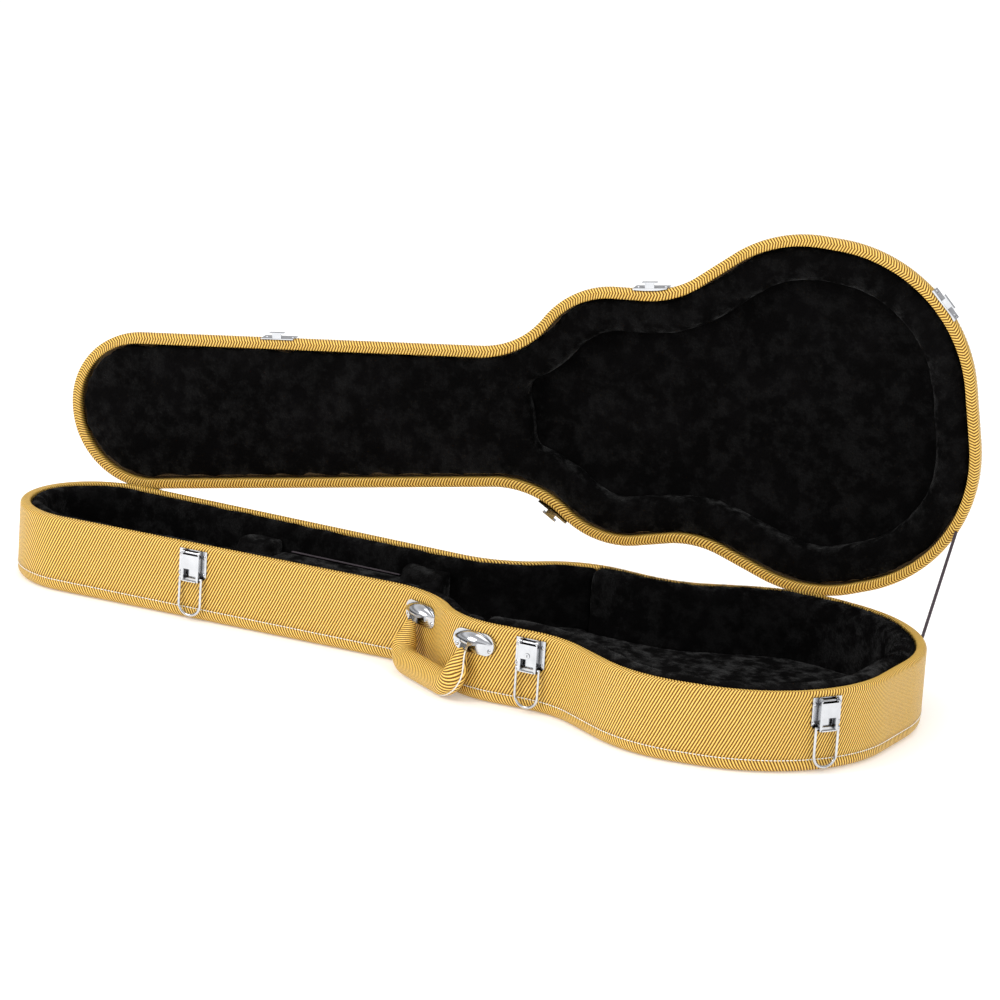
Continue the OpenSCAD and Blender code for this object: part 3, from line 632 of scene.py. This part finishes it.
def fuzz(name, obj, body, count, where, longest=3.2):
    """Loose pile fibres along a plush edge, as thin triangles that lean all ways."""
    mesh = obj.data
    size = len(mesh.polygons)
    centres, normals, areas = np.empty(size * 3), np.empty(size * 3), np.empty(size)
    mesh.polygons.foreach_get("center", centres)
    mesh.polygons.foreach_get("normal", normals)
    mesh.polygons.foreach_get("area", areas)
    centres, normals = centres.reshape(-1, 3), normals.reshape(-1, 3)
    weights = areas * where(centres)
    picks = random.choice(size, count, p=weights / weights.sum())
    spread = np.sqrt(areas[picks])[:, None]
    root = centres[picks] + random.uniform(-0.5, 0.5, (count, 3)) * spread - normals[picks] * 0.4 * MM
    aim = normals[picks] + random.normal(0, 0.55, (count, 3))
    aim /= np.linalg.norm(aim, axis=1)[:, None]
    tip = root + aim * random.uniform(SHORTEST_FIBRE, longest, (count, 1)) * MM
    side = np.cross(aim, random.normal(size=(count, 3)))
    side *= FIBRE_HALF_W / np.linalg.norm(side, axis=1)[:, None]
    vertices = np.stack([root - side, root + side, tip], axis=1).reshape(-1, 3) / MM
    faces = np.arange(3 * count).reshape(-1, 3)
    fibres = new_object(name, vertices, faces, smooth=False)
    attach(paint(fibres, PLUSH), body)


def at_tray_rim(points):
    return points[:, 2] > (TRAY_H - 4) * MM


def at_hinge_side_rim(points):
    """The pile stands over the rim along the body's hinge side."""
    return at_tray_rim(points) & (points[:, 1] > 0)


def at_lid_rim(points):
    return shut_height(points) < LID_Z + 9


def shut_height(points):
    """Heights in mm that points on the open lid have when it is shut."""
    shut = np.array(OPENED.inverted())
    return (points @ shut[2, :3] + shut[2, 3]) / MM


def low_in_tray(points):
    """The padding is glued down to half the tray's height."""
    return points[:, 2] < 0.5 * TRAY_H * MM


def deep_in_lid(points):
    """The lid's padding is glued to the lid's panel."""
    return shut_height(points) > LID_Z + 0.5 * LID_H


def round_its_rim(points):
    """The compartment's lid is bound round its edge."""
    low, high = points.min(axis=0), points.max(axis=0)
    edge = 10 * MM
    return ((points[:, :2] < low[:2] + edge) | (points[:, :2] > high[:2] - edge)).any(axis=1)


def lining():
    for node in ("body_floor_pad", "head_floor_pad", "compartment_box"):
        soft_copy([node], "tray")
    for node in ("heel_cradle", "head_cradle"):
        soft_copy([node], "tray", voxel=6.0, rounds=3, swell=1.2, puff=2.0, stays=low_in_tray)
    for node in ("body_padding", "neck_padding"):
        padding = soft_copy([node], "tray", voxel=6.0, rounds=3, swell=1.2, puff=2.0, stays=low_in_tray)
        fuzz("fuzz_" + node, padding, "tray", 7000, at_tray_rim)
        if node == "body_padding":
            fuzz("fuzz_hinge_side", padding, "tray", 9000, at_hinge_side_rim, longest=5.5)
    padding = soft_copy(
        ["lid_body_padding", "lid_neck_padding"], "lid",
        voxel=6.0, rounds=4, swell=1.2, puff=2.0, stays=deep_in_lid,
    )
    fuzz("fuzz_lid_padding", padding, "lid", 9000, at_lid_rim)
    panel = lid_panel()
    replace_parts(panel, "lid_panel_lining")
    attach(paint(panel, PLUSH), "lid")
    soft_copy(
        ["compartment_lid"], "compartment",
        voxel=3.0, rounds=2, swell=0.5, puff=1.5, stays=round_its_rim,
    )


LID_PANEL_FROM = -10.0      # the thin lining of the lid's panel starts here, under the padding
LID_PANEL_INSET = 26.0
LID_PANEL_FACE = LID_Z + 28.0


def lid_panel():
    """The thin lining glued inside the lid's top, running under the padding round it."""
    points, normals, _ = outline_samples(6.0)
    ring = [p + LID_PANEL_INSET * n for p, n in zip(points, normals) if p[0] > LID_PANEL_FROM]
    start = next(i for i in range(len(ring)) if ring[i - 1][1] < 0 < ring[i][1])
    ring = ring[start:] + ring[:start]
    count = len(ring)
    vertices = [(p[0], p[1], z) for z in (LID_PANEL_FACE, LID_PANEL_FACE + 5) for p in ring]
    faces = [(i, (i + 1) % count, count + (i + 1) % count, count + i) for i in range(count)]
    faces += strips_across(list(range(count)))
    faces += [face[::-1] for face in strips_across(list(range(count, 2 * count)))]
    obj = new_object("soft_lid_panel", vertices, faces)
    remesh = obj.modifiers.new("remesh", "REMESH")
    remesh.mode = "VOXEL"
    remesh.voxel_size = 2.5 * MM
    remesh.use_smooth_shade = True
    apply_modifiers(obj)
    dent(obj, 0.8)
    obj.data.transform(OPENED)
    return obj


# ---------- handle grip ----------

BRACKET_X = (20, 114)
PIVOT_OUT = 8.5
LEG_SHIFT = 4.0
GRIP_DROP = 65.0
GRIP_R = 14.0
GRIP_TOP_R = 5.5
GRIP_START = 7.0
GRIP_BEND_R = 18.0
GRIP_CLEAR = 1.5
GRIP_UV = 1.05              # the grip's stripes run across it, closer together than the case's
GRIP_SIDES = 48
GRIP_SWELL_RUN = 30.0       # the grip reaches its full radius this far from each end
GRIP_WIDTH = 1.02           # its section is a little wider than it is thick
GRIP_THICKNESS = 0.9
GRIP_SEAM_PINCH = 0.10


def handle_frame():
    """The pivot line's middle, with X along it, -Z down the hanging legs and -Y away from the case."""
    ends = [wall_at(x, -1)[0] for x in BRACKET_X]
    chord = ends[1] - ends[0]
    length = float(np.linalg.norm(chord))
    heading = math.atan2(chord[1], chord[0])
    out = Vector((math.sin(heading), -math.cos(heading), 0))
    along = Vector((math.cos(heading), math.sin(heading), 0))
    middle = Vector((*(ends[0] + ends[1]) / 2, HANDLE_H)) + out * PIVOT_OUT - along * LEG_SHIFT
    hang = math.acos((HANDLE_H - GRIP_R - GRIP_CLEAR) / (GRIP_DROP - GRIP_R))
    turn = Matrix.Rotation(heading, 4, "Z") @ Matrix.Rotation(-hang, 4, "X")
    return Matrix.Translation(middle * MM) @ turn, length / 2


def grip_path(leg, count=150):
    """Centre line of the grip: x, drop, direction of travel, and how far along it is."""
    middle = GRIP_DROP - GRIP_R
    bend_top = middle - GRIP_BEND_R
    straight = bend_top - GRIP_START
    arc = GRIP_BEND_R * math.pi / 2
    span = 2 * (leg - GRIP_BEND_R)
    total = 2 * straight + 2 * arc + span
    for s in np.linspace(0, total, count):
        mirrored = s > total / 2
        d = total - s if mirrored else s
        if d < straight:
            x, w, turn = -leg, GRIP_START + d, 0.0
        elif d < straight + arc:
            turn = (d - straight) / GRIP_BEND_R
            x = -leg + GRIP_BEND_R * (1 - math.cos(turn))
            w = bend_top + GRIP_BEND_R * math.sin(turn)
        else:
            x, w, turn = -leg + GRIP_BEND_R + d - straight - arc, middle, math.pi / 2
        if mirrored:
            x, turn = -x, math.pi - turn
        yield x, w, turn, s, total


def grip():
    """Tweed-covered grip: flattened round, fuller at the bottom, seamed along its outer edge."""
    matrix, leg = handle_frame()
    vertices, uvs, faces, seam = [], [], [], []
    path = list(grip_path(leg))
    for x, w, turn, s, total in path:
        end = min(s, total - s)
        share = min(1.0, end / GRIP_SWELL_RUN)
        share = share * share * (3 - 2 * share)
        radius = GRIP_TOP_R + (GRIP_R - GRIP_TOP_R) * share
        closing = min(1.0, 0.35 + end / 4.0)
        outer = Vector((-math.cos(turn), 0, -math.sin(turn)))
        for k in range(GRIP_SIDES + 1):
            angle = 2 * math.pi * k / GRIP_SIDES
            c, d = math.cos(angle), math.sin(angle)
            from_seam = angle if angle < math.pi else angle - 2 * math.pi
            pinch = 1 - GRIP_SEAM_PINCH * math.exp(-(from_seam / 0.16) ** 2)
            wide = outer * c * radius * GRIP_WIDTH * closing * pinch
            thick = Vector((0, -1, 0)) * d * radius * GRIP_THICKNESS * closing
            reach = wide + thick
            vertices.append((x + reach.x, reach.y, -w + reach.z))
            uvs.append((s * GRIP_UV, angle * radius * GRIP_UV))
        edge = outer * radius * closing * 0.94
        seam.append((x + edge.x, 0.0, -w + edge.z))
    rows = len(path)
    for i in range(rows - 1):
        for k in range(GRIP_SIDES):
            a = i * (GRIP_SIDES + 1) + k
            faces.append((a, a + GRIP_SIDES + 1, a + GRIP_SIDES + 2, a + 1))
    for i in (0, rows - 1):
        faces.append([i * (GRIP_SIDES + 1) + k for k in range(GRIP_SIDES)])
    cover = new_object("grip_cover", vertices, faces, uvs)
    cover.data.transform(matrix)
    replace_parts(cover, "handle_grip")
    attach(paint(cover, TWEED), "handle")
    piping = tube("grip_piping", seam, 1.0)
    piping.data.transform(matrix)
    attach(paint(piping, THREAD), "handle")


def tube(name, points, radius, sides=10):
    """A round cord along a list of points, in mm."""
    line = [Vector(p) for p in points]
    vertices, faces = [], []
    for i, p in enumerate(line):
        t = (line[min(i + 1, len(line) - 1)] - line[max(i - 1, 0)]).normalized()
        a = t.cross(Vector((0, 1, 0)) if abs(t.y) < 0.9 else Vector((1, 0, 0))).normalized()
        b = t.cross(a)
        for k in range(sides):
            angle = 2 * math.pi * k / sides
            vertices.append(p + (a * math.cos(angle) + b * math.sin(angle)) * radius)
    for i in range(len(line) - 1):
        for k in range(sides):
            m, n = i * sides + k, i * sides + (k + 1) % sides
            faces.append((m, n, n + sides, m + sides))
    faces += [list(range(sides))[::-1], [(len(line) - 1) * sides + k for k in range(sides)]]
    return new_object(name, vertices, faces)


# ---------- stay tape ----------

TAPE_HALF_W = 1.7 * MM
TAPE_HALF_T = 0.5 * MM
TAPE_IN_TRAY = (508, 133, TRAY_H - 3)
TAPE_IN_SHUT_LID = (510, 128, LID_Z + 1)
TAPE_STEPS = 40


def stay_tape():
    """A woven tape from behind the tray's rim to behind the lid's."""
    start = Vector(TAPE_IN_TRAY) * MM
    end = OPENED @ (Vector(TAPE_IN_SHUT_LID) * MM)
    run = end - start
    across = run.cross(Vector((1, 0.3, 0))).normalized().cross(run).normalized()
    thick = run.cross(across).normalized()
    vertices, faces = [], []
    for k in range(TAPE_STEPS + 1):
        middle = start + run * (k / TAPE_STEPS)
        for a, b in ((-1, -1), (1, -1), (1, 1), (-1, 1)):
            vertices.append((middle + across * a * TAPE_HALF_W + thick * b * TAPE_HALF_T) / MM)
    for k in range(TAPE_STEPS):
        for m in range(4):
            a, b = k * 4 + m, k * 4 + (m + 1) % 4
            faces.append((a, b, b + 4, a + 4))
    faces += [(3, 2, 1, 0), tuple(TAPE_STEPS * 4 + m for m in range(4))]
    tape = new_object("tape_strap", vertices, faces, smooth=False)
    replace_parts(tape, "stay_tape")
    paint(tape, TAPE)
    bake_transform(tape)


# ---------- hardware finish ----------

def finish_hardware():
    slots = {part["node"]: part["material_slot"] for part in frame["record"]["subparts"]}
    finishes = {"nickel": NICKEL, "plywood": PLYWOOD, "tweed": TWEED, "plush": PLUSH, "thread": THREAD,
                "tape": TAPE}
    for node, obj in frame["nodes"].items():
        obj.data.materials.clear()
        obj.data.materials.append(finishes[slots[node]])


# ---------- studio ----------

CAMERA_TARGET = Vector((56.3, 0, 179.6)) * MM
CAMERA_DISTANCE = 4.9116
CAMERA_AZIMUTH = math.radians(27.6)
CAMERA_ELEVATION = math.radians(14.85)
CAMERA_ROLL = math.radians(3.844)
CAMERA_LENS = 162.66


def camera():
    flat = math.cos(CAMERA_ELEVATION)
    back = Vector((
        math.sin(CAMERA_AZIMUTH) * flat,
        -math.cos(CAMERA_AZIMUTH) * flat,
        math.sin(CAMERA_ELEVATION),
    ))
    right = Vector((0, 0, 1)).cross(back).normalized()
    up = back.cross(right)
    turned_right = math.cos(CAMERA_ROLL) * right + math.sin(CAMERA_ROLL) * up
    turned_up = math.cos(CAMERA_ROLL) * up - math.sin(CAMERA_ROLL) * right
    place = CAMERA_TARGET + back * CAMERA_DISTANCE
    pose = Matrix((turned_right, turned_up, back)).transposed().to_4x4()
    pose.translation = place
    data = bpy.data.cameras.new("camera")
    data.lens = CAMERA_LENS
    data.sensor_width = 36
    data.clip_end = 50
    obj = bpy.data.objects.new("camera", data)
    obj.matrix_world = pose
    bpy.context.scene.collection.objects.link(obj)
    bpy.context.scene.camera = obj


def area_light(name, place, size, power, colour=(1, 1, 1)):
    data = bpy.data.lights.new(name, "AREA")
    data.shape = "SQUARE"
    data.size = size
    data.energy = power
    data.color = colour
    obj = bpy.data.objects.new(name, data)
    obj.location = place
    aim = Vector((0, 0, 0.15)) - Vector(place)
    obj.rotation_euler = aim.to_track_quat("-Z", "Y").to_euler()
    bpy.context.scene.collection.objects.link(obj)


def studio_world():
    """White light all round; bright metal mirrors a room with a dark band at the horizon instead."""
    world = bpy.data.worlds.new("studio")
    world.use_nodes = True
    tree = world.node_tree
    background = tree.nodes["Background"]
    background.inputs["Strength"].default_value = 0.95
    place = tree.nodes.new("ShaderNodeTexCoord")
    split = tree.nodes.new("ShaderNodeSeparateXYZ")
    tree.links.new(place.outputs["Generated"], split.inputs[0])
    ramp = tree.nodes.new("ShaderNodeValToRGB")
    tree.links.new(split.outputs[2], ramp.inputs[0])
    stops = [(0.0, 0.10), (0.12, 0.05), (0.30, 0.75), (0.45, 0.22), (0.62, 1.0), (1.0, 0.5)]
    while len(ramp.color_ramp.elements) < len(stops):
        ramp.color_ramp.elements.new(0.5)
    for element, (position, value) in zip(ramp.color_ramp.elements, stops):
        element.position = position
        element.color = (value, value, value * 1.02, 1)
    rays = tree.nodes.new("ShaderNodeLightPath")
    mix = tree.nodes.new("ShaderNodeMix")
    mix.data_type = "RGBA"
    mix.inputs[6].default_value = (1, 1, 1, 1)
    tree.links.new(rays.outputs["Is Glossy Ray"], mix.inputs[0])
    tree.links.new(ramp.outputs[0], mix.inputs[7])
    tree.links.new(mix.outputs[2], background.inputs["Color"])
    return world


FLOOR_HALF = 9000.0
FLOOR_GAP = 0.6


def studio():
    """Soft light from the front, a fill, a light from above, and a pale floor."""
    scene = bpy.context.scene
    scene.view_settings.view_transform = "Standard"
    scene.world = studio_world()
    area_light("key", (-1.6, -2.6, 2.4), 1.6, 48)
    area_light("fill", (2.4, -2.2, 1.4), 1.8, 12)
    area_light("top", (0.2, 0.6, 3.0), 2.0, 20)
    n = Nodes("pale floor")
    place = n.node("ShaderNodeTexCoord").outputs["Object"]
    shade = n.mix(n.noise(place, 3.0), (0.93, 0.93, 0.93, 1), (0.95, 0.95, 0.95, 1))
    floor_material = n.set(
        Base_Color=shade, Roughness=0.6, Emission_Color=(1, 1, 1, 1), Emission_Strength=0.22,
    )
    corners = [(x * FLOOR_HALF, y * FLOOR_HALF, -FLOOR_GAP) for x, y in ((-1, -1), (1, -1), (1, 1), (-1, 1))]
    floor = new_object("floor", corners, [(0, 1, 2, 3)], smooth=False)
    floor.data.materials.append(floor_material)


finish_hardware()
tray_covering()
lid_covering()
seams()
lining()
grip()
stay_tape()
camera()
studio()
